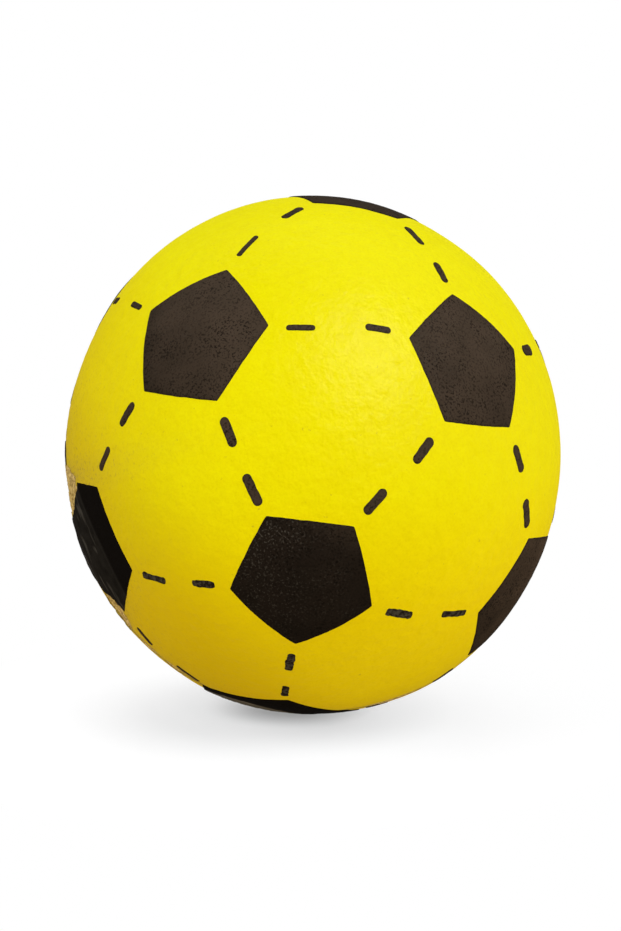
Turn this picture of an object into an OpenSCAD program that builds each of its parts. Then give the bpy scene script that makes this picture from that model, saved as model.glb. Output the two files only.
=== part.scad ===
// Foam soccer ball: a solid foam core inside two half skins, with a printed pattern of
// pentagons and dashes. Millimetres, +Z up, origin at the centre of the ball, front towards -Y.

/* [Ball] */
// Diameter over the skin
ball_d = 200; // [180:1:240]
// Thickness of the yellow skin
skin_t = 0.8; // [0.5:0.1:2]
// Clearance between one round layer and the next
layer_gap = 0.05; // [0.02:0.01:0.3]

/* [Seam] */
// Width of the foam ridge that shows between the two half skins
seam_w = 0.8; // [0.4:0.1:2]
// Depth of that ridge below the outside of the skin
seam_recess = 0.2; // [0.1:0.05:0.4]

/* [Print] */
// Thickness of the ink on the skin
ink_t = 0.25; // [0.1:0.05:0.5]
// Straight distance from the axis of a pentagon to its corners
pentagon_reach = 30; // [24:0.5:32]
// Outward bow of the sides of a pentagon
side_bow = 0.9; // [0.3:0.1:2]
// Length of a dash over its round ends
dash_l = 12.4; // [8:0.2:14]
// Width of a dash
dash_w = 3.6; // [2:0.2:5]
// Distance along the skin from the corner of a pentagon to the nearest dash
dash_gap = 5.5; // [3:0.5:8]

/* [Lie of the ball] */
// Lean of the top pentagon from upright, in degrees
lean = 11.9; // [0:0.1:30]
// Direction of that lean, in degrees from +X towards +Y
lean_towards = 52.9; // [0:0.1:360]
// Turn of the pattern about its own axis, in degrees
spin = 182.5; // [0:0.1:360]

/* [Hidden] */
$fn = 128;

yellow = "#EFE000";
black = "#2B2624";
cream = "#E3D3A4";

ball_r = ball_d / 2;
skin_inside_r = ball_r - skin_t;
core_r = skin_inside_r - layer_gap;
ridge_r = ball_r - seam_recess;
ink_inside_r = ball_r + layer_gap;
ink_r = ink_inside_r + ink_t;

// Outline of a pentagon: five arcs, each through two corners
sides = 5;
step = 360 / sides;
half_side = pentagon_reach * sin(step / 2);
side_middle = pentagon_reach * cos(step / 2) + side_bow;
side_r = (half_side ^ 2 + side_bow ^ 2) / (2 * side_bow);

// Angle at the centre of the ball between the middle of a pentagon and the middle of a dash
dash_angle = asin(pentagon_reach / ball_r) + (dash_gap + dash_l / 2) / ball_r * 180 / PI;

// Twelve evenly spread headings, one to the middle of each pentagon: a top, two rings and a bottom
ring_angle = atan(2);
function heading(polar, around) = [sin(polar) * cos(around), sin(polar) * sin(around), cos(polar)];
top = heading(0, 0);
upper = [for (k = [0 : sides - 1]) heading(ring_angle, k * step)];
lower = [for (k = [0 : sides - 1]) heading(180 - ring_angle, (k + 0.5) * step)];
bottom = heading(180, 0);
function after(k) = (k + 1) % sides;

// The seam runs round the ball square to the middle of the front hexagon
seam_axis = upper[0] + upper[1] + lower[0];

// Each pentagon: its node, its heading and a neighbour that one of its corners points at
pentagons = concat(
    [["pentagon_top", top, upper[0]]],
    [for (k = [0 : sides - 1]) [str("pentagon_upper_", k + 1), upper[k], top]],
    [for (k = [0 : sides - 1]) [str("pentagon_lower_", k + 1), lower[k], bottom]],
    [["pentagon_bottom", bottom, lower[0]]]
);

// Each pair of dashes: its node and the two pentagons that it lies between
function named(prefix, pairs) = [for (i = [0 : len(pairs) - 1]) [str(prefix, i + 1), pairs[i]]];
dashes = concat(
    named("dashes_top_", [for (k = [0 : sides - 1]) [top, upper[k]]]),
    named("dashes_upper_", [for (k = [0 : sides - 1]) [upper[k], upper[after(k)]]]),
    named("dashes_middle_", [for (k = [0 : sides - 1], u = [k, after(k)]) [upper[u], lower[k]]]),
    named("dashes_lower_", [for (k = [0 : sides - 1]) [lower[k], lower[after(k)]]]),
    named("dashes_bottom_", [for (k = [0 : sides - 1]) [lower[k], bottom]])
);

// Turns the pattern to the way the ball lies
module lying() {
    rotate([0, lean, lean_towards])
        rotate(spin)
            children();
}

// Turns +Z to one heading, and +X as near as it can go to another
module aimed(axis, towards) {
    z = axis / norm(axis);
    across = cross(z, towards);
    y = across / norm(across);
    x = cross(y, z);
    multmatrix([
        [x[0], y[0], z[0], 0],
        [x[1], y[1], z[1], 0],
        [x[2], y[2], z[2], 0],
        [0, 0, 0, 1]
    ])
        children();
}

module shell(outside, inside) {
    difference() {
        sphere(outside);
        sphere(inside);
    }
}

// Solid ball of foam with the ridge that fills the seam
module foam_core() {
    color(cream)
        lying()
            union() {
                sphere(core_r);
                aimed(seam_axis, top)
                    intersection() {
                        sphere(ridge_r);
                        cylinder(h = seam_w, r = ball_r, center = true);
                    }
            }
}

// Half shell of skin, from the edge of the seam to the far side of the ball
module half_skin(side) {
    color(yellow)
        lying()
            aimed(side * seam_axis, top)
                intersection() {
                    shell(ball_r, skin_inside_r);
                    translate([0, 0, seam_w / 2])
                        cylinder(h = ball_r, r = ball_d);
                }
}

module skin_front() {
    half_skin(1);
}

module skin_back() {
    half_skin(-1);
}

// Film of ink on the skin, in the shape of a flat outline seen along its own heading.
// The poles of the shell are turned to its sides, away from the film.
module ink(centre, towards) {
    color(black)
        lying()
            aimed(centre, towards)
                intersection() {
                    rotate([90, 0, 0])
                        shell(ink_r, ink_inside_r);
                    linear_extrude(ball_d)
                        children();
                }
}

module pentagon_outline() {
    intersection_for(k = [0 : sides - 1])
        rotate((k + 0.5) * step)
            translate([side_middle - side_r, 0])
                circle(side_r);
}

module pentagon(centre, neighbour) {
    ink(centre, neighbour)
        pentagon_outline();
}

module dash_outline() {
    cap = (dash_l - dash_w) / 2;
    square([2 * cap, dash_w], center = true);
    for (side = [-1, 1])
        translate([side * cap, 0])
            circle(d = dash_w);
}

// Two short strokes on the line between two pentagons
module dash_pair(from, to) {
    for (ends = [[from, to], [to, from]]) {
        across = ends[1] - ends[0] * (ends[0] * ends[1]);
        middle = ends[0] * cos(dash_angle) + across / norm(across) * sin(dash_angle);
        ink(middle, ends[1])
            dash_outline();
    }
}

foam_core();
skin_front();
skin_back();
for (p = pentagons)
    pentagon(p[1], p[2]);
for (d = dashes)
    dash_pair(d[1][0], d[1][1]);
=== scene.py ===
# Foam soccer ball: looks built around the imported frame. Metres, +Z up, front of the ball towards -Y.
import itertools
import math

import bpy
import numpy as np
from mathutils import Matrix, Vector

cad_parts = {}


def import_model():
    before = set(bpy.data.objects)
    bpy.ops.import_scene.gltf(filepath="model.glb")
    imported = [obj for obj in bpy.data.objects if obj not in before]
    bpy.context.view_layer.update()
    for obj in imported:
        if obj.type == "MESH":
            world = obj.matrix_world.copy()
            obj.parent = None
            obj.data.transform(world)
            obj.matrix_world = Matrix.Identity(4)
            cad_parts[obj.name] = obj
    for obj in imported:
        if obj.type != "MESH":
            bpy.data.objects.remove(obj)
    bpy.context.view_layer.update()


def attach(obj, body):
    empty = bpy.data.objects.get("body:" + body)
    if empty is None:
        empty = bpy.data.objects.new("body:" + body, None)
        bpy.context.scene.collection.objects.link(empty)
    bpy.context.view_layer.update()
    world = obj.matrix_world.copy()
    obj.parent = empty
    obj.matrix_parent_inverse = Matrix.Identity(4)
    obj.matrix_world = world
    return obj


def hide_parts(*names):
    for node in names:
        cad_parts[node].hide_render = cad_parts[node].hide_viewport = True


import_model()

MM = 0.001
QUARTER_TURN = math.pi / 2
FULL_TURN = 2 * math.pi

# Sizes of the ball, as in the part
BALL_R = 100 * MM
SKIN_T = 0.8 * MM
LAYER_GAP = 0.05 * MM
INK_T = 0.25 * MM
SEAM_W = 0.8 * MM
SEAM_RECESS = 0.2 * MM
PENTAGON_REACH = 30 * MM
SIDE_BOW = 0.9 * MM
DASH_L = 12.4 * MM
DASH_GAP = 5.5 * MM
SIDES = 5

# Lie of the ball in degrees: lean of the top pentagon, direction of the lean, turn of the pattern
LEAN = 11.9
LEAN_TOWARDS = 52.9
SPIN = 182.5

# Photograph's frame in pixels, and the ball's place in it
IMAGE_W = 621
IMAGE_H = 931
BALL_X = 312.8
BALL_Y = 454.4
BALL_PIXELS = 253.3
CAMERA_ELEVATION = 12
CAMERA_DISTANCE = 2.16
SENSOR = 36

# Lamps: direction, width in metres and watts. The sheen lamp is mirrored in the skin and does nothing else.
LAMP_DISTANCE = 2.0
LAMPS = {
    "key": ((0.376, -0.433, 0.819), 1.0, 6.0),
    "sheen": ((0.422, -0.485, 0.766), 1.4, 128.0),
    "left": ((-0.709, -0.410, 0.574), 1.6, 12.2),
    "right": ((0.990, 0, 0.139), 1.6, 6.1),
    "behind": ((0, 0.643, 0.766), 1.6, 8.7),
    "front": ((0.554, -0.791, 0.259), 1.6, 11.1),
}
SKY = 0.44

# The ball is a little out of round: width, depth and height against a true ball. Both have the same
# middle, which is what it rolls about.
OUT_OF_ROUND = np.array([0.978, 1.0, 1.023])
FLOOR_Z = -(BALL_R + LAYER_GAP + INK_T) * float(OUT_OF_ROUND[2])
FLOOR_HALF = 8.0

# Flats and bulges of the ball: place round the outline that the camera sees, in degrees anticlockwise from
# the right, height in millimetres and spread in degrees
BULGES = [
    (60, -0.7, 14),
    (87, -0.3, 12),
    (160, -0.6, 16),
    (246, 0.55, 8),
    (298, 0.7, 14),
]

# The floor goes over to plain white between these distances from a place in front of the ball, and has a
# little painted light, a glow, away from another place, where the shadow is deepest
SHADOW_MIDDLE = (-18 * MM, -35 * MM, FLOOR_Z)
SHADOW_NEAR = 25 * MM
SHADOW_FAR = 150 * MM
GLOW_MIDDLE = (-25 * MM, -5 * MM, FLOOR_Z)
GLOW_NEAR = 40 * MM
GLOW_FAR = 82 * MM
GLOW_HIGH = 0.17

# Painted shadow: the floor's colour is darkest round the place that the ball touches
TOUCH_MIDDLE = (-8 * MM, -1 * MM, FLOOR_Z)
TOUCH_NEAR = 10 * MM
TOUCH_FAR = 37 * MM
TOUCH_SHADE = 0.5

# Wear along the seam: degrees anticlockwise round it as seen from the front, then half width, depth in the
# front skin, depth in the back skin and how far the foam swells out, in millimetres. A depth below zero
# leaves a tongue of skin.
TEARS = [
    (188.9, 10.0, 23.5, 15.0, -0.2),
    (187.2, 2.2, 0.0, 5.0, 0.0),
    (190.2, 1.6, 0.0, 3.0, 0.0),
    (193.4, 1.8, 0.0, -4.5, 0.0),
    (184.6, 1.2, 0.0, 4.0, 0.0),
    (218.5, 9.0, 14.0, 11.5, -0.6),
    (216.2, 1.8, 0.0, 4.5, 0.0),
    (220.0, 2.2, 0.0, 3.0, 0.0),
    (222.2, 1.4, 0.0, 4.0, 0.0),
    (228.5, 5.0, 1.6, 2.2, 0.2),
    (236.5, 5.0, 2.2, 4.0, 0.1),
    (28.0, 6.0, 1.6, 2.4, 0.2),
    (96.0, 4.0, 1.4, 1.0, 0.0),
    (289.0, 13.0, 1.3, 2.0, 0.2),
    (330.0, 5.0, 1.5, 2.0, 0.0),
]

# How far the ink of each pentagon has worn from black to brownish grey, partly wear and partly painted
# sheen, and where the painted sheen is strongest
DEFAULT_FADE_AND_SHEEN = 0.5
DASH_FADE_AND_SHEEN = 1.0
FADE_AND_SHEEN_WAY = (0.4, -0.5, 0.77)
FADE_AND_SHEEN_WAYS = {"pentagon_lower_2": (0.6, 0.5, 0.6)}
FADES_AND_SHEENS = {
    "pentagon_upper_1": 0.85,
    "pentagon_upper_2": 0.85,
    "pentagon_upper_3": 0.6,
    "pentagon_upper_5": 0.7,
    "pentagon_lower_1": 0.15,
    "pentagon_lower_2": 0.75,
    "pentagon_lower_5": 0.0,
    "pentagon_top": 0.6,
    "pentagon_bottom": 0.0,
}

# How strongly pale grains, partly painted glints, show in the ink, and where they are densest
DEFAULT_GRAINS_AND_GLINTS = 0.3
GRAINS_AND_GLINTS = {"pentagon_lower_1": 1.0, "pentagon_lower_5": 0.0, "pentagon_bottom": 0.0}
GRAIN_AND_GLINT_WAY = (-0.7, -0.1, 0.7)

# Creases in the ink: how far from the front pole the crease runs at one place round the seam, that place,
# how it bends away from there, in degrees, and how grey the ink beyond it and the streaks in it are, a
# painted reflection and painted highlights
CREASES = {
    "pentagon_lower_5": (71.2, 206, 0.016, 0.04, 0.2),
    "pentagon_bottom": (87.5, 256, 0.05, 0.5, 0.3),
}

# Drift of the print from its ideal place: right and up in millimetres, turn in degrees, and size
NO_DRIFT = (0, 0, 0, 1)
DRIFTS = {
    "pentagon_upper_1": (-1.7, -2.8, 1.0, 0.99),
    "pentagon_upper_2": (3.1, 0.7, 0.4, 0.968),
    "pentagon_lower_1": (-1.3, 0.8, 0.5, 0.975),
    "pentagon_lower_5": (2.1, 2.4, 1.1, 0.98),
    "pentagon_lower_2": (2.5, -0.5, 0.5, 0.995),
    "pentagon_top": (5.1, -0.8, 0, 0.97),
    "pentagon_bottom": (-2.5, 4.7, -4.2, 1.13),
}

# Length, width, raggedness and drift to the right and up of the dashes that the photograph shows or just
# misses. Raggedness is a share of the width, and the rest is in millimetres. The first of a pair is by the
# first pentagon.
DASH_MARKS = {
    "dashes_top_1": ((12.5, 3.5, 0.10, -0.5, -1.5), (13.5, 2.5, 0.10, 0, 3)),
    "dashes_top_2": ((13, 3.5, 0.10, -1, -2.5), (11, 3.5, 0.10, -1, -2.5)),
    "dashes_upper_1": ((11.5, 2.5, 0.06, 0.5, -1.5), (10.5, 3, 0.06, 0, 1.5)),
    "dashes_upper_2": ((10.5, 4.5, 0.10, 1, 0), (10.5, 3.5, 0.10, 0, 8)),
    "dashes_upper_5": ((9, 3, 0.10, -2, 0.5), (9.5, 2.5, 0.10, -1.5, -0.5)),
    "dashes_middle_1": ((12, 4, 0.05, 0.5, -0.5), (13, 4, 0.05, 0.5, -1.5)),
    "dashes_middle_2": ((12, 4, 0.05, -0.5, -2), (12, 4, 0.05, -1.5, 1)),
    "dashes_middle_3": ((11.5, 4, 0.08, -0.5, -0.5), (12.5, 4.5, 0.08, -2, 0)),
    "dashes_middle_4": ((11, 3.5, 0.10, 0, 0), (11, 3.5, 0.10, 0, -4)),
    "dashes_middle_9": ((11, 3.5, 0.10, 0, 0), (11, 3.5, 0.10, -2, 0)),
    "dashes_middle_10": ((11, 3.5, 0.10, -0.5, 1), (11, 3, 0.10, -1, 1)),
    "dashes_lower_1": ((12, 3.5, 0.24, 0, -1), (13, 3, 0.20, -2, 2.5)),
    "dashes_lower_5": ((12, 3, 0.24, -0.5, -0.5), (10, 3, 0.24, 1, 1)),
    "dashes_bottom_1": ((10.5, 3.5, 0.20, 0.5, 1), (9.5, 3, 0.24, 1, 1)),
    "dashes_bottom_2": ((10, 3.5, 0.12, 0, -4), (10, 3.5, 0.12, 0, 0)),
    "dashes_bottom_5": ((9.5, 3, 0.08, 0.5, 3), (11.5, 2.5, 0.08, 1.5, 6)),
}

# Spread of length, width and raggedness in the other dashes
USUAL_LENGTHS = (10.5, 12.4)
USUAL_WIDTHS = (2.8, 4.0)
USUAL_RAGGEDNESS = (0.06, 0.14)

# Painted shade: the skin is painted darker and more golden on the side that this way points to: the cosine
# where that starts, and over how much of it the painted shade grows
GOLDEN_SHADE_WAY = (-0.76, -0.15, -0.63)
GOLDEN_SHADE_FROM = 0.45
GOLDEN_SHADE_OVER = 0.4

# Dirt and painted shade on the skin by the seam, strongest on the left: where it is thickest round the seam
# and how far it spreads, in degrees, how much there is elsewhere, and how far it reaches from the edge,
# elsewhere and more at the thickest place
DIRT_AND_SHADE_MIDDLE = 192
DIRT_AND_SHADE_SPREAD = 45
DIRT_AND_SHADE_ELSEWHERE = 0.2
DIRT_AND_SHADE_REACH = 12 * MM
DIRT_AND_SHADE_REACH_MORE = 16 * MM

# Layers of noise, each with its height, the size of its lumps in millimetres and its seed. The heights are
# millimetres for the skin, the rim, the foam, the pits, the grain of the ink and the outline of a pentagon,
# radians for the waver of a crease, and shares for the rest.
SKIN_LUMPS = ((0.10, 24, 1), (0.05, 9, 2), (0.02, 4, 3))
RIM_RAGGED = ((0.22, 3, 11), (0.16, 1.3, 12))
RIM_BAYS = ((0.5, 11, 13),)
TEAR_SHIFT = ((0.10, 5, 14),)
TEAR_RAGGED = ((0.16, 4, 15), (0.12, 1.5, 16))
DIRT_PITS = ((0.16, 2, 17),)
FOAM_CELLS = ((0.16, 1.6, 21), (0.12, 0.8, 22), (0.12, 5, 23))
INK_GRAIN = ((0.035, 1.5, 31), (0.02, 0.9, 32))
FADE_AND_SHEEN_CLOUDS = ((0.16, 9, 33), (0.10, 16, 34))
GRAIN_AND_GLINT_PATCHES = ((0.35, 10, 35),)
OUTLINE_WOBBLE = ((0.10, 5, 41), (0.06, 1.6, 42))
CREASE_WAVER = ((0.004, 14, 51),)
FOLD_LUMPS = ((0.6, 6, 53),)
CREASE_GREYS = ((0.02, 3, 55),)
DASH_EDGE = ((1.0, 2.2, 61), (0.5, 0.9, 62))

# Seeds of the noise in a crease's folds, its broad streaks and its fine ones
FOLD_SEED = 52
BROAD_SEED = 54
FINE_SEED = 56


# Repeatable noise

HASH_FACTORS = np.array([374761393, 668265263, 1274126177])
HASH_SEED_FACTOR = 974711
HASH_ROUNDS = ((13, 1103515245), (16, 69069))
HASH_LAST_SHIFT = 15
HASH_MASK = 0xFFFFFFFF
HASH_TOP = 0xFFFF


def lattice(cells, seed):
    """Values from -1 to 1 for whole-number places."""
    stirred = (cells * HASH_FACTORS).sum(-1) + seed * HASH_SEED_FACTOR
    for shift, factor in HASH_ROUNDS:
        stirred = ((stirred ^ (stirred >> shift)) * factor) & HASH_MASK
    return ((stirred ^ (stirred >> HASH_LAST_SHIFT)) & HASH_TOP) / (HASH_TOP / 2) - 1


def noise(points, size, seed):
    """Smooth noise from -1 to 1 with lumps of about the given size."""
    place = np.asarray(points) / size
    base = np.floor(place).astype(np.int64)
    part = place - base
    ease = part ** 3 * (part * (part * 6 - 15) + 10)
    total = np.zeros(place.shape[:-1])
    for corner in itertools.product((0, 1), repeat=3):
        share = np.prod(np.where(corner, ease, 1 - ease), axis=-1)
        total += share * lattice(base + np.array(corner), seed)
    return total


def layered(points, layers):
    """Sum of layers of noise: (height, size in millimetres, seed) each."""
    return sum(height * noise(points, size * MM, seed) for height, size, seed in layers)


def smooth(x):
    """Eases from 0 to 1 as x goes from 0 to 1."""
    x = np.clip(x, 0, 1)
    return x * x * (3 - 2 * x)


def bell(x):
    """Falls from 1 at x = 0 to nearly nothing past 2 on either side."""
    return np.exp(-x ** 2)


# Layout of the print

def unit(v):
    v = np.asarray(v, float)
    return v / np.linalg.norm(v, axis=-1, keepdims=True)


def turns(count):
    """Even angles once round, in radians."""
    return np.arange(count) / count * FULL_TURN


def cos_sin(degrees):
    return math.cos(math.radians(degrees)), math.sin(math.radians(degrees))


def heading(polar, around):
    """Unit heading at some degrees from the pole and some round it."""
    up, out = cos_sin(polar)
    x, y = cos_sin(around)
    return np.array([out * x, out * y, up])


def turn_z(degrees):
    c, s = cos_sin(degrees)
    return np.array([[c, -s, 0], [s, c, 0], [0, 0, 1]])


def turn_y(degrees):
    c, s = cos_sin(degrees)
    return np.array([[c, 0, s], [0, 1, 0], [-s, 0, c]])


def rightwards(way):
    """The way to the right on the ball, square to a heading."""
    return unit(np.array([1, 0, 0]) - way[0] * way)


# RING is the angle from the top pentagon to the upper ones on an even ball
STEP = 360 / SIDES
RING = math.degrees(math.atan(2))
LYING = turn_z(LEAN_TOWARDS) @ turn_y(LEAN) @ turn_z(SPIN)
TOP = LYING @ heading(0, 0)
UPPER = [LYING @ heading(RING, k * STEP) for k in range(SIDES)]
LOWER = [LYING @ heading(180 - RING, (k + 0.5) * STEP) for k in range(SIDES)]
BOTTOM = -TOP


def upper(k):
    return f"pentagon_upper_{k % SIDES + 1}"


def lower(k):
    return f"pentagon_lower_{k % SIDES + 1}"


def moved(way, right, up):
    """A heading moved over the ball by some millimetres."""
    x = rightwards(way)
    return unit(way + (right * x + up * np.cross(way, x)) * MM / BALL_R)


IDEAL = {"pentagon_top": TOP, "pentagon_bottom": BOTTOM}
IDEAL |= {upper(k): UPPER[k] for k in range(SIDES)}
IDEAL |= {lower(k): LOWER[k] for k in range(SIDES)}
PRINTED = {name: moved(way, *DRIFTS.get(name, NO_DRIFT)[:2]) for name, way in IDEAL.items()}

# A neighbour that one corner of each pentagon points at
TOWARDS = {"pentagon_top": upper(0), "pentagon_bottom": lower(0)}
TOWARDS |= {upper(k): "pentagon_top" for k in range(SIDES)}
TOWARDS |= {lower(k): "pentagon_bottom" for k in range(SIDES)}

# The two pentagons that each pair of dashes lies between
DASHES = {}
for k in range(SIDES):
    DASHES[f"dashes_top_{k + 1}"] = ("pentagon_top", upper(k))
    DASHES[f"dashes_upper_{k + 1}"] = (upper(k), upper(k + 1))
    DASHES[f"dashes_middle_{2 * k + 1}"] = (upper(k), lower(k))
    DASHES[f"dashes_middle_{2 * k + 2}"] = (upper(k + 1), lower(k))
    DASHES[f"dashes_lower_{k + 1}"] = (lower(k), lower(k + 1))
    DASHES[f"dashes_bottom_{k + 1}"] = (lower(k), "pentagon_bottom")

# Frame of the seam: Z to the middle of the front hexagon, X to the right, Y up
SEAM_Z = unit(UPPER[0] + UPPER[1] + LOWER[0])
SEAM_X = rightwards(SEAM_Z)
SEAM_Y = np.cross(SEAM_Z, SEAM_X)


# Shape of the skin

# How far the skin is trimmed back past the seam's own width, in millimetres, how many places its edge is
# worked out at, and how many ball radii apart the noise for the two halves is taken
RIM_TRIM = 0.3
RIM_PLACES = 3601
HALVES_APART = 3

# Power that rounds the ends of a tear, and the widest gap in the skin that the ink bridges
TEAR_POWER = 0.6
INK_BRIDGE = 3.6 * MM


def swelling(ways):
    """Height of the flats and bulges above a true ball, for unit headings."""
    height = np.zeros(ways.shape[:-1])
    tilt_c, tilt_s = cos_sin(CAMERA_ELEVATION)
    for degrees, high, spread in BULGES:
        across, along = cos_sin(degrees)
        middle = np.array([across, along * tilt_s, along * tilt_c])
        height += high * MM * np.exp(-2 * (1 - ways @ middle) / math.radians(spread) ** 2)
    return height


def relief(ways):
    """Height of the skin above a true ball, for unit headings."""
    return layered(ways * BALL_R, SKIN_LUMPS) * MM + swelling(ways)


def wrapped(angle):
    """The same angle between -pi and pi."""
    return (angle + math.pi) % FULL_TURN - math.pi


def beside(around, degrees):
    """Angle in radians, from -pi to pi, past a place on the seam."""
    return wrapped(around - math.radians(degrees))


def rim_shape(around, side):
    """How far the skin's edge lies from the seam, for angles round it in radians; side 0 front, 1 back."""
    ring = np.stack([np.cos(around), np.sin(around), np.full_like(around, HALVES_APART * side)], -1) * BALL_R
    bays = np.maximum(layered(ring, RIM_BAYS), 0)
    depth = SEAM_W / 2 / MM + RIM_TRIM + layered(ring, RIM_RAGGED) + bays
    shift = layered(ring, TEAR_SHIFT)
    ragged = 1 + layered(ring, TEAR_RAGGED)
    for centre, half, *depths, _ in TEARS:
        across = beside(around, centre) * BALL_R / (half * MM) + shift
        bite = np.clip(1 - across ** 2, 0, 1) ** TEAR_POWER
        depth += bite * depths[side] * ragged
    return depth * MM


RIM_TURNS = np.linspace(-math.pi, math.pi, RIM_PLACES)
RIM_DEPTHS = [rim_shape(RIM_TURNS, side) for side in (0, 1)]


def rim_depth(around, side):
    return np.interp(wrapped(around), RIM_TURNS, RIM_DEPTHS[side])


def seam_polar(ways):
    """(angle from the front pole, angle round the seam) of unit headings."""
    polar = np.arccos(np.clip(ways @ SEAM_Z, -1, 1))
    return polar, np.arctan2(ways @ SEAM_Y, ways @ SEAM_X)


def seam_ways(polar, around):
    """Unit headings at angles from the front pole and angles round the seam."""
    out = np.cos(around)[..., None] * SEAM_X + np.sin(around)[..., None] * SEAM_Y
    return np.sin(polar)[..., None] * out + np.cos(polar)[..., None] * SEAM_Z


def torn(ways):
    """Whether the skin is missing under unit headings, at a gap too wide for the ink to bridge."""
    polar, around = seam_polar(ways)
    front, back = rim_depth(around, 0), rim_depth(around, 1)
    offset = (polar - QUARTER_TURN) * BALL_R
    return (front + back > INK_BRIDGE) & (offset > -front) & (offset < back)


# Mesh building

# Middle and reach, in the square of the texture map, of the disc for the outside and of that for the inside
OUTSIDE_MIDDLE = 0.46
OUTSIDE_REACH = 0.455
INSIDE_MIDDLE = 0.93
INSIDE_REACH = 0.06


def closed_piece(name, start, loops, end, rim, marks=None):
    """A closed mesh from one point, a stack of loops of equal count and another point. Loops up to rim
    are the outside. marks are named values for each point, in the same order."""
    count = loops.shape[1]
    points = np.concatenate([[start], loops.reshape(-1, 3), [end]]) * OUT_OF_ROUND
    rows = len(loops)
    k = np.arange(count)
    nxt = (k + 1) % count
    first = np.stack([np.zeros_like(k), 1 + k, 1 + nxt], -1)
    base = 1 + np.arange(rows - 1)[:, None] * count
    quads = np.stack([base + k, base + count + k, base + count + nxt, base + nxt], -1).reshape(-1, 4)
    low = 1 + (rows - 1) * count
    last = np.stack([low + k, np.full_like(k, len(points) - 1), low + nxt], -1)
    corners = np.concatenate([first.ravel(), quads.ravel(), last.ravel()])
    sizes = np.concatenate([np.full(count, 3), np.full(len(quads), 4), np.full(count, 3)])

    mesh = bpy.data.meshes.new(name)
    mesh.vertices.add(len(points))
    mesh.vertices.foreach_set("co", points.ravel())
    mesh.loops.add(len(corners))
    mesh.loops.foreach_set("vertex_index", corners.astype(np.int32))
    mesh.polygons.add(len(sizes))
    mesh.polygons.foreach_set("loop_start", (np.cumsum(sizes) - sizes).astype(np.int32))
    mesh.polygons.foreach_set("use_smooth", np.ones(len(sizes), bool))
    mesh.update(calc_edges=True)
    for mark, values in (marks or {}).items():
        mesh.attributes.new(mark, "FLOAT", "POINT").data.foreach_set("value", values.astype(np.float32))
    mesh.validate()
    add_map(mesh, count, rows, rim)
    piece = bpy.data.objects.new(name, mesh)
    bpy.context.collection.objects.link(piece)
    return piece


def add_map(mesh, count, rows, rim):
    """Lays the outside out as one wide disc and the inside as a small one in the corner."""
    turn = turns(count)
    ring = np.stack([np.cos(turn), np.sin(turn)], -1)
    here = np.arange(count)
    nxt = (here + 1) % count

    def spot(row, k, inside):
        if inside:
            return INSIDE_MIDDLE + INSIDE_REACH * (rows - row) / (rows - rim) * ring[k]
        return OUTSIDE_MIDDLE + OUTSIDE_REACH * (row + 1) / (rim + 1) * ring[k]

    middle = np.full((count, 2), OUTSIDE_MIDDLE)
    far = np.full((count, 2), INSIDE_MIDDLE)
    faces = [(middle, spot(0, here, False), spot(0, nxt, False))]
    for row in range(rows - 1):
        places = ((row, here), (row + 1, here), (row + 1, nxt), (row, nxt))
        faces.append([spot(down, k, row >= rim) for down, k in places])
    faces.append((spot(rows - 1, here, True), far, spot(rows - 1, nxt, True)))
    spots = np.concatenate([np.stack(face, 1).reshape(-1, 2) for face in faces])
    mesh.uv_layers.new(name="OFBake").data.foreach_set("uv", spots.ravel())


def dress(piece, node, material):
    """Ties a piece to the frame. Its own colour isn't thrown on the floor and on other pieces."""
    piece.data.materials.append(material)
    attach(piece, "root")
    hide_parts(node)
    piece.visible_diffuse = False


# Foam core

# Points round the seam, and stretches of rows from the front pole to the back: from, to and step in degrees
FOAM_SECTORS = 800
FOAM_ROWS = ((6, 70, 6), (70, 102, 0.35), (102, 175, 6))

# How far under the edge of the skin the foam starts to rise, and over what width it does
RISE_START = 0.1 * MM
RISE_WIDTH = 0.5 * MM

# The cells grow coarser where the gap in the skin is wide: from which width, over how much, and by how much
COARSE_FROM = 3 * MM
COARSE_OVER = 4 * MM
COARSE_MORE = 0.8


def foam_core(material):
    around = turns(FOAM_SECTORS)
    polar = np.radians(np.concatenate([np.arange(*stretch) for stretch in FOAM_ROWS]))
    p, a = np.meshgrid(polar, around, indexing="ij")
    ways = seam_ways(p, a)
    front, back = rim_depth(around, 0), rim_depth(around, 1)
    offset = (p - QUARTER_TURN) * BALL_R
    inside = np.minimum(offset + front, back - offset)
    bare = smooth((inside + RISE_START) / RISE_WIDTH)
    coarse = 1 + COARSE_MORE * smooth((front + back - COARSE_FROM) / COARSE_OVER)
    swell = np.full_like(around, SKIN_T - SEAM_RECESS)
    for centre, half, *_, out in TEARS:
        swell += out * MM * bell(beside(around, centre) * BALL_R / (half * MM))
    core_r = BALL_R - SKIN_T - LAYER_GAP
    radius = core_r + bare * (swell + layered(ways * BALL_R, FOAM_CELLS) * coarse * MM)
    loops = ways * (radius + swelling(ways))[..., None]
    piece = closed_piece("foam_core_piece", SEAM_Z * core_r, loops, -SEAM_Z * core_r, len(polar) // 2)
    dress(piece, "foam_core", material)


# Skin halves

# Points round the seam, rows from the pole to the seam, one for each degree, and the row from which on they
# follow the ragged edge
SKIN_SECTORS = 900
SKIN_ROWS = 90
FOLLOW_FROM = 62

# Rows of the inside, in degrees back from the edge, and how near the pole they go, in radians
BACK_STEPS = (0.6, 2, 5, 12, 25, 40, 55, 70)
POLE_CLEAR = 0.02

# The edge lifts at a tear: from which depth, over how much more and by how much
LIFT_FROM = 2 * MM
LIFT_OVER = 8 * MM
LIFT = 0.25 * MM

# How far from the edge the skin is lifted, worn and painted with a shadow line, how far the edge is rounded
# over, and the height of its lip as a share of the skin
WORN_REACH = 2.5 * MM
ROUNDED = 0.12 * MM
ROUNDED_REACH = 0.25 * MM
LIP_SHARE = 0.35


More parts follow.
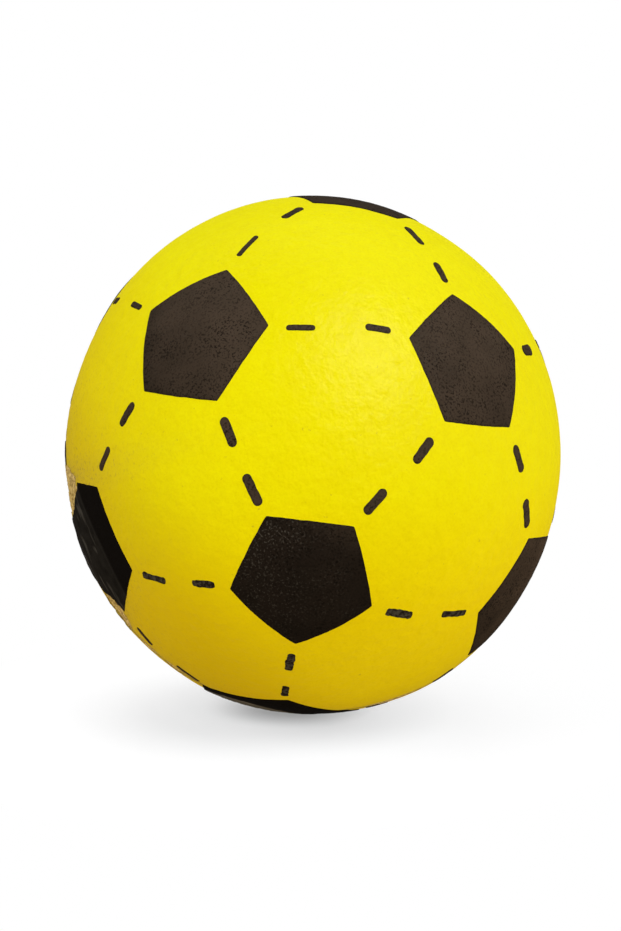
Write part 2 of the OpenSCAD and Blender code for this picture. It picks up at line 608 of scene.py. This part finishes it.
def half_skin(side, material):
    name = ("skin_front", "skin_back")[side]
    pole = (0, math.pi)[side]
    inwards = (1, -1)[side]
    around = inwards * turns(SKIN_SECTORS)
    depth = rim_depth(around, side)
    edge = QUARTER_TURN - depth / BALL_R
    even = np.radians(np.arange(1, SKIN_ROWS + 1))
    follow = smooth((even - math.radians(FOLLOW_FROM)) / math.radians(SKIN_ROWS - FOLLOW_FROM))
    polar = even[:, None] - (QUARTER_TURN - edge)[None] * follow[:, None]

    def ways_at(angle):
        return seam_ways(pole + inwards * angle, np.broadcast_to(around, angle.shape))

    def raised(ways, height):
        return ways * (BALL_R + height)[..., None]

    ways = ways_at(polar)
    from_edge = (edge[None] - polar) * BALL_R
    wear_and_edge_shade = np.exp(-from_edge / WORN_REACH)
    # Dirt and painted shade by the seam, thickest on the left
    thick = bell(beside(around, DIRT_AND_SHADE_MIDDLE) / math.radians(DIRT_AND_SHADE_SPREAD))
    reach = DIRT_AND_SHADE_REACH + DIRT_AND_SHADE_REACH_MORE * thick
    dirt_and_shade = (DIRT_AND_SHADE_ELSEWHERE + (1 - DIRT_AND_SHADE_ELSEWHERE) * thick) * np.exp(-from_edge / reach)
    # Painted shade: darker and more golden towards the lower left
    golden_shade = smooth((ways @ unit(GOLDEN_SHADE_WAY) - GOLDEN_SHADE_FROM) / GOLDEN_SHADE_OVER)
    pitted = dirt_and_shade * layered(ways * BALL_R, DIRT_PITS) * MM
    lift = np.clip((depth - LIFT_FROM) / LIFT_OVER, 0, 1) * LIFT
    curl = lift[None] * wear_and_edge_shade - ROUNDED * np.exp(-from_edge / ROUNDED_REACH)
    outer = raised(ways, relief(ways) + curl + pitted)

    brink = ways_at(edge + ROUNDED / BALL_R)
    lip = raised(brink, lift + swelling(brink) - LIP_SHARE * SKIN_T)
    foot = raised(brink, lift + swelling(brink) - SKIN_T)
    inner = []
    for step in np.radians(BACK_STEPS):
        held = lift * np.exp(-step * BALL_R / WORN_REACH)
        under = ways_at(np.maximum(edge - step, POLE_CLEAR))
        inner.append(raised(under, held + swelling(under) - SKIN_T))
    loops = np.concatenate([outer, [lip, foot], inner])

    zenith = inwards * SEAM_Z
    start = zenith * (BALL_R + float(relief(zenith[None])[0]))
    unseen = np.ones((len(loops) - len(outer)) * len(around) + 1)
    marks = {"wear_and_edge_shade": wear_and_edge_shade, "dirt_and_shade": dirt_and_shade, "golden_shade": golden_shade}
    marks = {mark: np.concatenate([[0], values.ravel(), unseen]) for mark, values in marks.items()}
    piece = closed_piece(f"{name}_piece", start, loops, zenith * (BALL_R - SKIN_T), len(outer), marks)
    dress(piece, name, material)


# Ink

# Shares of an outline's reach at which it is tried for tears
TEAR_TRIES = np.linspace(0.3, 1, 141)

# How soon the film has its height from its outline in, the groove in it over the seam, and the darker lines
# along both
FILM_EDGE = 0.12 * MM
GROOVE_DEPTH = 0.16 * MM
GROOVE_HALF = 0.5 * MM
DARK_EDGE = 0.5 * MM
DARK_SEAM = 0.8
DARK_SEAM_HALF = 0.4 * MM

# How much the fade and painted sheen grow across a pentagon, and the painted glare past a place near its
# edge: how steep it is, how soon a faded ink has all of it, and from which share of the ball's radius on
FADE_AND_SHEEN_SLOPE = 1.5
GLARE = 3
GLARE_SOON = 8
GLARE_FROM = 0.17

# Pale grains and painted glints at the middle of a pentagon, and how much they grow across it
GRAIN_AND_GLINT_MIDDLE = 0.25
GRAIN_AND_GLINT_SLOPE = 1.6

# How far under the skin's surface the film's outline and its underside lie, and the shares of the outline
# at which the underside has points
OUTLINE_SUNK = 0.10 * MM
UNDERSIDE_SUNK = 0.15 * MM
UNDERSIDE_SHARES = (0.9, 0.6, 0.3)

# Distance between the places, in metres, at which the noise for two prints is taken
PRINTS_APART = 0.1


def aimed(centre, towards, twist=0):
    """Axes with Z at one heading and X as near as it can go to another, then turned by some degrees."""
    z = unit(centre)
    y = unit(np.cross(z, towards))
    x = np.cross(y, z)
    c, s = cos_sin(twist)
    return c * x + s * y, c * y - s * x, z


def lift_to_ball(flat, axes):
    """Unit headings of flat points seen along the Z of the axes."""
    x, y, z = axes
    up = np.sqrt(np.clip(1 - (flat ** 2).sum(-1) / BALL_R ** 2, 0, 1))
    return flat[..., :1] / BALL_R * x + flat[..., 1:] / BALL_R * y + up[..., None] * z


def clear_of_tears(outline, axes):
    """Pulls an outline back towards its middle where the skin under it is missing."""
    along = outline[None] * TEAR_TRIES[:, None, None]
    gone = torn(lift_to_ball(along, axes))
    tries = len(TEAR_TRIES)
    first = np.where(gone.any(0), np.argmax(gone, 0), tries)
    share = np.where(first < tries, TEAR_TRIES[np.maximum(first - 1, 0)], 1)
    return outline * share[:, None]


def ink_film(name, rings, edge_gap, axes, fade_and_sheen, fade_and_sheen_way=FADE_AND_SHEEN_WAY, mottle=0.0, grains_and_glints=DEFAULT_GRAINS_AND_GLINTS,
             crease=None):
    """A thin closed film on the skin. rings are flat loops from the middle out, and edge_gap is how far
    each point is from the outline."""
    ways = lift_to_ball(rings, axes)
    ground = relief(ways)
    points = ways * BALL_R
    seam = ways @ SEAM_Z * BALL_R
    body = 1 - np.exp(-edge_gap / FILM_EDGE)
    groove = GROOVE_DEPTH * bell(seam / GROOVE_HALF)
    top = ground + LAYER_GAP + (INK_T + layered(points, INK_GRAIN) * MM - groove) * body

    off_centre = ways - axes[2]
    # Painted sheen: paler towards the light, with a painted glare past a place near the edge
    sunny = off_centre @ unit(fade_and_sheen_way)
    faded_and_sheen = fade_and_sheen * (1 + FADE_AND_SHEEN_SLOPE * sunny + layered(points, FADE_AND_SHEEN_CLOUDS))
    glare = GLARE * min(1, GLARE_SOON * fade_and_sheen) * np.clip(sunny - GLARE_FROM, 0, 1)
    # Pale grains and painted glints, densest towards one side
    patchy = GRAIN_AND_GLINT_MIDDLE + GRAIN_AND_GLINT_SLOPE * (off_centre @ unit(GRAIN_AND_GLINT_WAY)) + layered(points, GRAIN_AND_GLINT_PATCHES)
    film = {
        "edge": np.maximum(np.exp(-edge_gap / DARK_EDGE), DARK_SEAM * bell(seam / DARK_SEAM_HALF)),
        "fade_and_sheen": np.clip(faded_and_sheen + glare, 0, 1),
        "mottle": np.full(ground.shape, mottle),
        "grains_and_glints": grains_and_glints * np.clip(patchy, 0, 1),
        "crumple_reflection": np.zeros(ground.shape),
    }
    if crease is not None:
        bump, film["crumple_reflection"] = crumpled(ways, crease)
        top = top + bump * body

    outside = ways * (BALL_R + top)[..., None]
    outside[-1] = ways[-1] * (BALL_R + ground[-1] - OUTLINE_SUNK)[..., None]
    under = []
    for share in UNDERSIDE_SHARES:
        low = lift_to_ball(rings[-1] * share, axes)
        under.append(low * (BALL_R + relief(low) - UNDERSIDE_SUNK)[..., None])
    loops = np.concatenate([outside, under])
    z = axes[2]
    end = z * (BALL_R + float(relief(z[None])[0]) - UNDERSIDE_SUNK)
    unseen = np.zeros(len(under) * rings.shape[1] + 1)
    flat = {mark: values.ravel() for mark, values in film.items()}
    marks = {mark: np.concatenate([values[:1], values, unseen]) for mark, values in flat.items()}
    return closed_piece(name, outside[0].mean(0), loops, end, len(outside) - 1, marks)


# Creases

# Half width of a crease, the height of its ridge and of the folds beyond it, and the greyness of the ridge,
# a painted highlight
CREASE_HALF = 0.6 * MM
RIDGE_HIGH = 0.2 * MM
FOLD_HIGH = 0.16 * MM
RIDGE_GREY = 0.06

# Folds for each radian round the seam, and for each millimetre away from the crease
FOLDS_ROUND = 40
FOLDS_OUT = 0.16

# The same for the streaks, which are painted highlights, with their slant, then the share and size of the
# fine ones, and where in the noise a streak starts and over how much of it
STREAKS_ROUND = 11
STREAKS_OUT = 0.4
STREAK_SLANT = 0.08
FINE_SHARE = 0.6
FINE_SIZE = 0.4
STREAK_FROM = 0.35
STREAK_OVER = 0.6


def crumpled(ways, crease):
    """(height, greyness) of the ink beyond a crease: painted reflection and highlights."""
    lowest, middle, bend, grey, streaky = crease
    points = ways * BALL_R
    polar, around = seam_polar(ways)
    apart = np.degrees(beside(around, middle))
    line = np.radians(lowest + bend * apart ** 2) + layered(points, CREASE_WAVER)
    beyond = (polar - line) * BALL_R
    outer = smooth(beyond / CREASE_HALF)
    ridge = bell(beyond / CREASE_HALF)
    out = beyond / MM
    folded = np.stack([around * FOLDS_ROUND, out * FOLDS_OUT, np.zeros_like(out)], -1)
    folds = 1 - np.abs(noise(folded, 1.0, FOLD_SEED)) + np.abs(layered(points, FOLD_LUMPS))
    slant = around * STREAKS_ROUND + out * STREAK_SLANT
    slanted = np.stack([slant, out * STREAKS_OUT, np.ones_like(out)], -1)
    streaks = noise(slanted, 1.0, BROAD_SEED) + FINE_SHARE * noise(slanted, FINE_SIZE, FINE_SEED)
    streaks = smooth((streaks - STREAK_FROM) / STREAK_OVER)
    # Painted reflection beyond the crease, with painted highlights in the streaks and on the ridge
    greyness = outer * (grey + layered(points, CREASE_GREYS) + streaky * streaks) + RIDGE_GREY * ridge
    return outer * folds * FOLD_HIGH + ridge * RIDGE_HIGH, np.clip(greyness, 0, 1)


# Pentagons

# Points round a pentagon, even rings from its middle out, and the last rings by their distance from the
# outline in millimetres
PENTAGON_SECTORS = 240
PENTAGON_RINGS = 46
PENTAGON_LAST = (0.35, 0.15, 0.05, 0.0)

# Rounding of the corners
CORNER_BLUNT = 0.13 * MM


def pentagon_outline(turn, size, seed):
    """Flat outline of a pentagon with bowed sides, with corners at whole steps of the turn."""
    half_side = PENTAGON_REACH * math.sin(math.pi / SIDES)
    middle = PENTAGON_REACH * math.cos(math.pi / SIDES) + SIDE_BOW
    bow_r = (half_side ** 2 + SIDE_BOW ** 2) / (2 * SIDE_BOW)
    back = middle - bow_r
    off = turn - np.radians((np.arange(SIDES) + 0.5) * STEP)[:, None]
    reach = back * np.cos(off) + np.sqrt(bow_r ** 2 - (back * np.sin(off)) ** 2)
    least = reach.min()
    radius = least - CORNER_BLUNT * np.log(np.exp((least - reach) / CORNER_BLUNT).sum(0))
    ways = np.stack([np.cos(turn), np.sin(turn)], -1)
    spots = np.concatenate([ways * PENTAGON_REACH, np.full((len(turn), 1), seed * PRINTS_APART)], -1)
    radius += layered(spots, OUTLINE_WOBBLE) * MM
    return ways * radius[:, None] * size


def pentagon(node, material, seed):
    *_, twist, size = DRIFTS.get(node, NO_DRIFT)
    axes = aimed(PRINTED[node], IDEAL[TOWARDS[node]], twist)
    outline = clear_of_tears(pentagon_outline(turns(PENTAGON_SECTORS), size, seed), axes)
    far = np.linalg.norm(outline, axis=-1)
    shares = np.linspace(1 / PENTAGON_RINGS, 1, PENTAGON_RINGS)[:-1, None]
    last = np.array(PENTAGON_LAST)[:, None] * MM
    rings = np.concatenate([outline * shares[..., None], outline * (1 - last / far)[..., None]])
    gap = np.concatenate([far * (1 - shares), np.broadcast_to(last, (len(last), len(far)))])
    piece = ink_film(f"{node}_piece", rings, gap, axes, FADES_AND_SHEENS.get(node, DEFAULT_FADE_AND_SHEEN),
                     fade_and_sheen_way=FADE_AND_SHEEN_WAYS.get(node, FADE_AND_SHEEN_WAY), grains_and_glints=GRAINS_AND_GLINTS.get(node, DEFAULT_GRAINS_AND_GLINTS),
                     crease=CREASES.get(node))
    dress(piece, node, material)


# Dashes

# Points round a dash, its rings as shares of its width, and how long the spine of an inner ring is
DASH_SECTORS = 96
DASH_RINGS = (0.15, 0.4, 0.65, 0.85, 0.95, 1.0)
INNER_SPINE = 0.9

# Points are spread as on a circle stretched by this, so that most lie on the round ends
DASH_STRETCH = 1.6

# Ragged dashes are also mottled: from which raggedness, over how much more, how much darker they are, and
# the power that shapes the ends of a dash, for a plain one and more for a mottled one
MOTTLE_FROM = 0.1
MOTTLE_OVER = 0.06
MOTTLE_DARKER = 0.8
END_POWER = 2
END_POWER_MORE = 1.5

# Step in seed between the two dashes of a pair
SECOND_SEED = 0.37


def dash(name, middle, towards, length, width, rough, seed):
    axes = aimed(middle, towards)
    mottle = smooth((rough - MOTTLE_FROM) / MOTTLE_OVER)
    power = END_POWER + END_POWER_MORE * mottle
    turn = turns(DASH_SECTORS)
    reach = np.cos(turn) * DASH_STRETCH
    straight = np.clip(reach, -1, 1)
    tip = (reach - straight) / (DASH_STRETCH - 1)
    side = (1 - np.abs(tip) ** power) ** (1 / power)
    round_way = np.stack([tip, np.copysign(side, np.sin(turn))], -1)
    spine = np.stack([(length - width) / 2 * straight, np.zeros_like(turn)], -1)
    outline = spine + round_way * width / 2
    spots = np.concatenate([outline, np.full((len(turn), 1), seed * PRINTS_APART)], -1)
    half = width / 2 * (1 + rough * layered(spots, DASH_EDGE))
    shares = np.array(DASH_RINGS)[:, None, None]
    rings = spine * (INNER_SPINE + (1 - INNER_SPINE) * shares) + round_way * half[:, None] * shares
    kept = clear_of_tears(rings[-1], axes)
    limit = np.linalg.norm(kept, axis=-1) / np.linalg.norm(rings[-1], axis=-1)
    gap = half * (1 - shares[..., 0])
    fade_and_sheen = DASH_FADE_AND_SHEEN * (1 - MOTTLE_DARKER * mottle)
    return ink_film(name, rings * limit[:, None], gap, axes, fade_and_sheen, mottle=mottle)


def dash_pair(node, material, seed):
    pick = np.random.default_rng(seed)
    usual = (pick.uniform(*USUAL_LENGTHS), pick.uniform(*USUAL_WIDTHS), pick.uniform(*USUAL_RAGGEDNESS), 0, 0)
    marks = DASH_MARKS.get(node, (usual, usual))
    reach = math.asin(PENTAGON_REACH / BALL_R) + (DASH_GAP + DASH_L / 2) / BALL_R
    first, second = (PRINTED[name] for name in DASHES[node])
    made = []
    for n, (a, b) in enumerate(((first, second), (second, first))):
        across = unit(b - a * (a @ b))
        length, width, rough, right, up = marks[n]
        middle = moved(a * math.cos(reach) + across * math.sin(reach), right, up)
        made.append(dash(f"{node}_piece", middle, b, length * MM, width * MM, rough, seed + SECOND_SEED * n))
    with bpy.context.temp_override(active_object=made[0], selected_editable_objects=made, object=made[0]):
        bpy.ops.object.join()
    dress(made[0], node, material)


# Shader nodes

MIX_SOCKETS = (("Factor", "VALUE"), ("A", "RGBA"), ("B", "RGBA"))


def new_material(name):
    material = bpy.data.materials.new(name)
    material.use_nodes = True
    tree = material.node_tree
    return material, tree, tree.nodes["Principled BSDF"]


def feed(tree, socket, value):
    """Links a socket to another one, or sets it to a plain value."""
    if isinstance(value, bpy.types.NodeSocket):
        tree.links.new(value, socket)
    else:
        socket.default_value = value


def shader_node(tree, kind, inputs=None, **settings):
    made = tree.nodes.new(kind)
    for key, value in settings.items():
        setattr(made, key, value)
    for key, value in (inputs or {}).items():
        feed(tree, made.inputs[key], value)
    return made


def object_place(tree):
    return shader_node(tree, "ShaderNodeTexCoord").outputs["Object"]


def attribute(tree, name):
    return shader_node(tree, "ShaderNodeAttribute", attribute_name=name).outputs["Fac"]


def maths(tree, operation, first, second):
    return shader_node(tree, "ShaderNodeMath", {0: first, 1: second}, operation=operation).outputs[0]


def times(tree, first, second):
    return maths(tree, "MULTIPLY", first, second)


def noise_value(tree, place, size, detail=2.0, roughness=0.5):
    inputs = {"Vector": place, "Scale": 1 / size, "Detail": detail, "Roughness": roughness}
    return shader_node(tree, "ShaderNodeTexNoise", inputs).outputs["Fac"]


def ranged(tree, value, low, high, to_low=0.0, to_high=1.0, ease="LINEAR"):
    limits = {"From Min": low, "From Max": high, "To Min": to_low, "To Max": to_high}
    made = shader_node(tree, "ShaderNodeMapRange", {"Value": value} | limits, interpolation_type=ease)
    return made.outputs["Result"]


def patches(tree, place, size, low, high, to_low=0.0, to_high=1.0, **noise_settings):
    """Goes from to_low to to_high where noise of some size goes from low to high."""
    return ranged(tree, noise_value(tree, place, size, **noise_settings), low, high, to_low, to_high)


def mixed(tree, share, first, second, blend="MIX"):
    made = shader_node(tree, "ShaderNodeMix", data_type="RGBA", blend_type=blend)
    for key, value in zip(MIX_SOCKETS, (share, first, second)):
        feed(tree, next(s for s in made.inputs if (s.name, s.type) == key), value)
    return next(s for s in made.outputs if s.type == "RGBA")


def over(tree, colour, tint, share, strength, blend="MIX"):
    """A colour with a tint laid over it, by a share times a strength."""
    return mixed(tree, times(tree, share, strength), colour, tint, blend)


def bumped(tree, shader, heights):
    """Chains bumps onto a shader: (height, strength, distance) each."""
    normal = None
    for height, strength, distance in heights:
        inputs = {"Height": height, "Strength": strength, "Distance": distance}
        if normal is not None:
            inputs["Normal"] = normal
        normal = shader_node(tree, "ShaderNodeBump", inputs).outputs["Normal"]
    tree.links.new(normal, shader.inputs["Normal"])


def dull_at_rim(tree, rough):
    """Roughness that rises where the surface turns away."""
    facing = shader_node(tree, "ShaderNodeLayerWeight", {"Blend": 0.5}).outputs["Facing"]
    return maths(tree, "ADD", rough, ranged(tree, facing, low=0.25, high=0.75, to_high=0.5))


# Materials

# Skin: its two yellows, the painted golden shade, the painted warmer shade below and at the left, and the
# marks from faint to dark, the darkest a painted shadow line at the edge
YELLOW = (0.910, 0.845, 0.0, 1)
DEEP_YELLOW = (0.890, 0.815, 0.0, 1)
GOLDEN_SHADE = (0.735, 0.625, 0.0, 1)
WARM_SHADE = (1.0, 0.86, 1.0, 1)
CLOUD = (0.76, 0.61, 0.0, 1)
SPECKLE = (0.62, 0.45, 0.0, 1)
PIT = (0.38, 0.27, 0.03, 1)
DIRT_AND_SHADE = (0.58, 0.44, 0.03, 1)
DIRT_SPOT = (0.33, 0.22, 0.05, 1)
GRIME = (0.36, 0.26, 0.07, 1)
EDGE_SHADE = (0.17, 0.11, 0.03, 1)
EDGE_SHADE_POWER = 4.0
SKIN_GLOSS = 0.045
SKIN_GLOSS_TINT = (1.0, 0.95, 0.6, 1)

# Painted shade: the warmer tint grows downwards and leftwards between these places
WARM_SHADE_Z_FROM = 5 * MM
WARM_SHADE_Z_TO = -45 * MM
WARM_SHADE_X_FROM = -55 * MM
WARM_SHADE_X_TO = -100 * MM
WARM_SHADE_SHARE = 0.85

# Ink: fresh, and faded with painted sheen, its tint, and the marks in it, among them painted glints and a
# painted reflection where it is crumpled
FRESH_INK = (0.0052, 0.0042, 0.0036, 1)
FADED_INK_AND_SHEEN = (0.066, 0.047, 0.033, 1)
INK_TINT = (0.5, 0.55, 0.5, 1)
INK_PIT = (0.004, 0.003, 0.002, 1)
PALE_GRAIN_AND_GLINT = (0.085, 0.080, 0.068, 1)
PALE_BLOT = (0.080, 0.074, 0.058, 1)
INK_EDGE = (0.006, 0.004, 0.003, 1)
CRUMPLE_REFLECTION = (0.190, 0.186, 0.170, 1)
INK_GLOSS = 0.006

# Foam: its two tones, and painted shade in its cells
PALE_FOAM = (0.80, 0.62, 0.24, 1)
BROWN_FOAM = (0.34, 0.24, 0.07, 1)
FOAM_HOLE_SHADE = (0.20, 0.12, 0.04, 1)
FOAM_CELL = 1.1 * MM
FOAM_GLOSS = 0.05

# Light that the floor throws back on the ball
FLOOR_BOUNCE = (0.80, 0.62, 0.40, 1)
WHITE = (1, 1, 1, 1)


def yellow_skin():
    material, tree, shader = new_material("yellow_skin")
    place = object_place(tree)
    blotch = patches(tree, place, 45 * MM, low=0.35, high=0.65, detail=3)
    colour = mixed(tree, blotch, YELLOW, DEEP_YELLOW)
    # Painted shade: golden and darker on the lower left
    colour = over(tree, colour, GOLDEN_SHADE, attribute(tree, "golden_shade"), strength=0.9)
    # Painted shade: a warmer tint towards the bottom and the left
    axes = shader_node(tree, "ShaderNodeSeparateXYZ", {0: place}).outputs
    down = ranged(tree, axes["Z"], WARM_SHADE_Z_FROM, WARM_SHADE_Z_TO, to_high=WARM_SHADE_SHARE)
    left = ranged(tree, axes["X"], WARM_SHADE_X_FROM, WARM_SHADE_X_TO, to_high=WARM_SHADE_SHARE)
    colour = mixed(tree, maths(tree, "MAXIMUM", down, left), colour, WARM_SHADE, "MULTIPLY")
    cloud = patches(tree, place, 5 * MM, low=0.40, high=0.65, to_high=0.10)
    colour = mixed(tree, cloud, colour, CLOUD)
    clean = patches(tree, place, 0.9 * MM, low=0.30, high=0.55, detail=3, roughness=0.6)
    colour = over(tree, colour, SPECKLE, maths(tree, "SUBTRACT", 1.0, clean), strength=0.14)
    pits = patches(tree, place, 2.4 * MM, low=0.70, high=0.78, roughness=0.7)
    colour = over(tree, colour, PIT, pits, strength=0.35)
    # Dirt and painted shade, strongest by the seam on the left
    dirt_and_shade = attribute(tree, "dirt_and_shade")
    colour = over(tree, colour, DIRT_AND_SHADE, dirt_and_shade, strength=0.85)
    spots = patches(tree, place, 1.3 * MM, low=0.56, high=0.66, detail=3, roughness=0.7)
    colour = over(tree, colour, DIRT_SPOT, spots, strength=dirt_and_shade)
    wear_and_edge_shade = attribute(tree, "wear_and_edge_shade")
    grime = patches(tree, place, 1.6 * MM, low=0.35, high=0.65, detail=4, roughness=0.7)
    colour = over(tree, colour, GRIME, times(tree, wear_and_edge_shade, grime), strength=0.55)
    # Painted shadow line along the skin's very edge
    colour = over(tree, colour, EDGE_SHADE, maths(tree, "POWER", wear_and_edge_shade, EDGE_SHADE_POWER), strength=0.6)
    tree.links.new(colour, shader.inputs["Base Color"])
    rough = patches(tree, place, 6 * MM, low=0.3, high=0.7, to_low=0.34, to_high=0.44, detail=3)
    tree.links.new(dull_at_rim(tree, rough), shader.inputs["Roughness"])
    shader.inputs["Specular IOR Level"].default_value = SKIN_GLOSS
    shader.inputs["Specular Tint"].default_value = SKIN_GLOSS_TINT
    bumped(tree, shader, [
        (noise_value(tree, place, 4.5 * MM), 1.0, 0.70 * MM),
        (noise_value(tree, place, 1.8 * MM, detail=3, roughness=0.6), 0.50, 0.32 * MM),
    ])
    return material


def black_ink():
    material, tree, shader = new_material("black_ink")
    place = object_place(tree)
    # Fade and painted sheen: brownish grey where the ink is worn and where it faces the light
    colour = mixed(tree, attribute(tree, "fade_and_sheen"), FRESH_INK, FADED_INK_AND_SHEEN)
    tint = patches(tree, place, 9 * MM, low=0.35, high=0.65)
    colour = over(tree, colour, INK_TINT, tint, strength=0.2, blend="MULTIPLY")
    pits = patches(tree, place, 0.85 * MM, low=0.50, high=0.36, roughness=0.6)
    pitted = patches(tree, place, 14 * MM, low=0.35, high=0.62, to_low=0.3, to_high=0.85)
    colour = over(tree, colour, INK_PIT, pits, strength=pitted)
    # Pale grains, partly painted glints
    grains_and_glints = patches(tree, place, 0.9 * MM, low=0.56, high=0.68)
    colour = over(tree, colour, PALE_GRAIN_AND_GLINT, times(tree, grains_and_glints, attribute(tree, "grains_and_glints")), strength=0.7)
    blots = patches(tree, place, 1.5 * MM, low=0.44, high=0.58, detail=3, roughness=0.65)
    colour = over(tree, colour, PALE_BLOT, times(tree, blots, attribute(tree, "mottle")), strength=0.8)
    colour = over(tree, colour, INK_EDGE, attribute(tree, "edge"), strength=0.55)
    # Painted reflection: crumpled ink greyed as if it mirrored its bright surroundings
    colour = mixed(tree, attribute(tree, "crumple_reflection"), colour, CRUMPLE_REFLECTION)
    tree.links.new(colour, shader.inputs["Base Color"])
    rough = patches(tree, place, 0.9 * MM, low=0.3, high=0.7, to_low=0.44, to_high=0.60)
    tree.links.new(dull_at_rim(tree, rough), shader.inputs["Roughness"])
    shader.inputs["Specular IOR Level"].default_value = INK_GLOSS
    bumped(tree, shader, [
        (noise_value(tree, place, 2.2 * MM), 0.25, 0.25 * MM),
        (noise_value(tree, place, 0.8 * MM, roughness=0.55), 0.55, 0.22 * MM),
    ])
    return material


def cream_foam():
    material, tree, shader = new_material("cream_foam")
    place = object_place(tree)
    tone = patches(tree, place, 2.5 * MM, low=0.38, high=0.62, detail=4, roughness=0.7)
    colour = mixed(tree, tone, PALE_FOAM, BROWN_FOAM)
    inputs = {"Vector": place, "Scale": 1 / FOAM_CELL}
    cells = shader_node(tree, "ShaderNodeTexVoronoi", inputs).outputs["Distance"]
    # Painted shade in the foam's cells, the same cells that bump it
    colour = over(tree, colour, FOAM_HOLE_SHADE, ranged(tree, cells, low=0.45, high=0.15), strength=0.85)
    tree.links.new(colour, shader.inputs["Base Color"])
    rough = patches(tree, place, 2 * MM, low=0.3, high=0.7, to_low=0.85, to_high=1.0)
    tree.links.new(rough, shader.inputs["Roughness"])
    shader.inputs["Specular IOR Level"].default_value = FOAM_GLOSS
    bumped(tree, shader, [(cells, 0.6, 0.5 * MM)])
    return material


# Stage, light and camera

def looked_at(tree):
    """1 for rays from the camera and for those that mirrors and glass send on, 0 for the rest."""
    path = shader_node(tree, "ShaderNodeLightPath").outputs
    sent_on = maths(tree, "MAXIMUM", path["Is Glossy Ray"], path["Is Transmission Ray"])
    return maths(tree, "MAXIMUM", path["Is Camera Ray"], sent_on)


def distance_from(tree, place, middle):
    made = shader_node(tree, "ShaderNodeVectorMath", {0: place, 1: middle}, operation="DISTANCE")
    return made.outputs["Value"]


def floor_material():
    material, tree, shader = new_material("floor")
    tree.nodes.remove(shader)
    place = object_place(tree)

    def shading(kind, inputs):
        return shader_node(tree, kind, inputs).outputs[0]

    # Painted shadow: the floor's colour darkens round the place that the ball touches
    under = distance_from(tree, place, TOUCH_MIDDLE)
    shade = ranged(tree, under, TOUCH_NEAR, TOUCH_FAR, TOUCH_SHADE, 1.0, "SMOOTHSTEP")
    lit = shading("ShaderNodeBsdfDiffuse", {"Color": shade})
    # Painted light: a glow that lifts the floor's shadow away from its deepest place
    deep = distance_from(tree, place, GLOW_MIDDLE)
    glow = ranged(tree, deep, GLOW_NEAR, GLOW_FAR, to_high=GLOW_HIGH)
    glow = shading("ShaderNodeEmission", {"Strength": glow})
    near = shading("ShaderNodeAddShader", {0: lit, 1: glow})
    white = shading("ShaderNodeEmission", {"Strength": 1.0})
    away = ranged(tree, distance_from(tree, place, SHADOW_MIDDLE), SHADOW_NEAR, SHADOW_FAR)
    shown = shading("ShaderNodeMixShader", {0: away, 1: near, 2: white})
    bounce = shading("ShaderNodeBsdfDiffuse", {"Color": FLOOR_BOUNCE})
    both = shading("ShaderNodeMixShader", {0: looked_at(tree), 1: bounce, 2: shown})
    tree.links.new(both, tree.nodes["Material Output"].inputs["Surface"])
    return material


def stage():
    mesh = bpy.data.meshes.new("floor")
    signs = ((-1, -1), (1, -1), (1, 1), (-1, 1))
    mesh.from_pydata([(x * FLOOR_HALF, y * FLOOR_HALF, FLOOR_Z) for x, y in signs], [], [(0, 1, 2, 3)])
    mesh.materials.append(floor_material())
    floor = bpy.data.objects.new("floor", mesh)
    bpy.context.collection.objects.link(floor)


def world():
    made = bpy.data.worlds.new("studio")
    bpy.context.scene.world = made
    made.use_nodes = True
    tree = made.node_tree
    back = tree.nodes["Background"]
    back.inputs["Color"].default_value = WHITE
    tree.links.new(ranged(tree, looked_at(tree), 0, 1, to_low=SKY), back.inputs["Strength"])


def lamp(name, way, size, watts):
    """A round lamp aimed at the ball."""
    place = Vector(way).normalized() * LAMP_DISTANCE
    data = bpy.data.lights.new(name, "AREA")
    data.shape = "DISK"
    data.size = size
    data.energy = watts
    made = bpy.data.objects.new(name, data)
    made.location = place
    made.rotation_euler = (-place).to_track_quat("-Z", "Y").to_euler()
    made.visible_glossy = name == "sheen"
    made.visible_diffuse = name != "sheen"
    bpy.context.collection.objects.link(made)


def camera():
    data = bpy.data.cameras.new("camera")
    pixels = BALL_PIXELS * math.sqrt((CAMERA_DISTANCE / BALL_R) ** 2 - 1)
    data.sensor_width = SENSOR
    data.lens = pixels / IMAGE_H * SENSOR
    made = bpy.data.objects.new("camera", data)
    tilt_c, tilt_s = cos_sin(CAMERA_ELEVATION)
    place = Vector((0, -tilt_c, tilt_s)) * CAMERA_DISTANCE
    right, up = Vector((1, 0, 0)), Vector((0, tilt_s, tilt_c))
    off_right, off_up = IMAGE_W / 2 - BALL_X, BALL_Y - IMAGE_H / 2
    per_pixel = CAMERA_DISTANCE / pixels
    aim = right * off_right * per_pixel + up * off_up * per_pixel
    made.location = place
    made.rotation_euler = (aim - place).to_track_quat("-Z", "Y").to_euler()
    bpy.context.collection.objects.link(made)
    bpy.context.scene.camera = made


camera()
world()
stage()
for name, (way, size, watts) in LAMPS.items():
    lamp(name, way, size, watts)

skin, ink, foam = yellow_skin(), black_ink(), cream_foam()
foam_core(foam)
half_skin(0, skin)
half_skin(1, skin)
for seed, name in enumerate(PRINTED, 1):
    pentagon(name, ink, seed)
for seed, name in enumerate(DASHES, 1):
    dash_pair(name, ink, seed)

bpy.context.scene.view_settings.view_transform = "Standard"
bpy.context.view_layer.update()
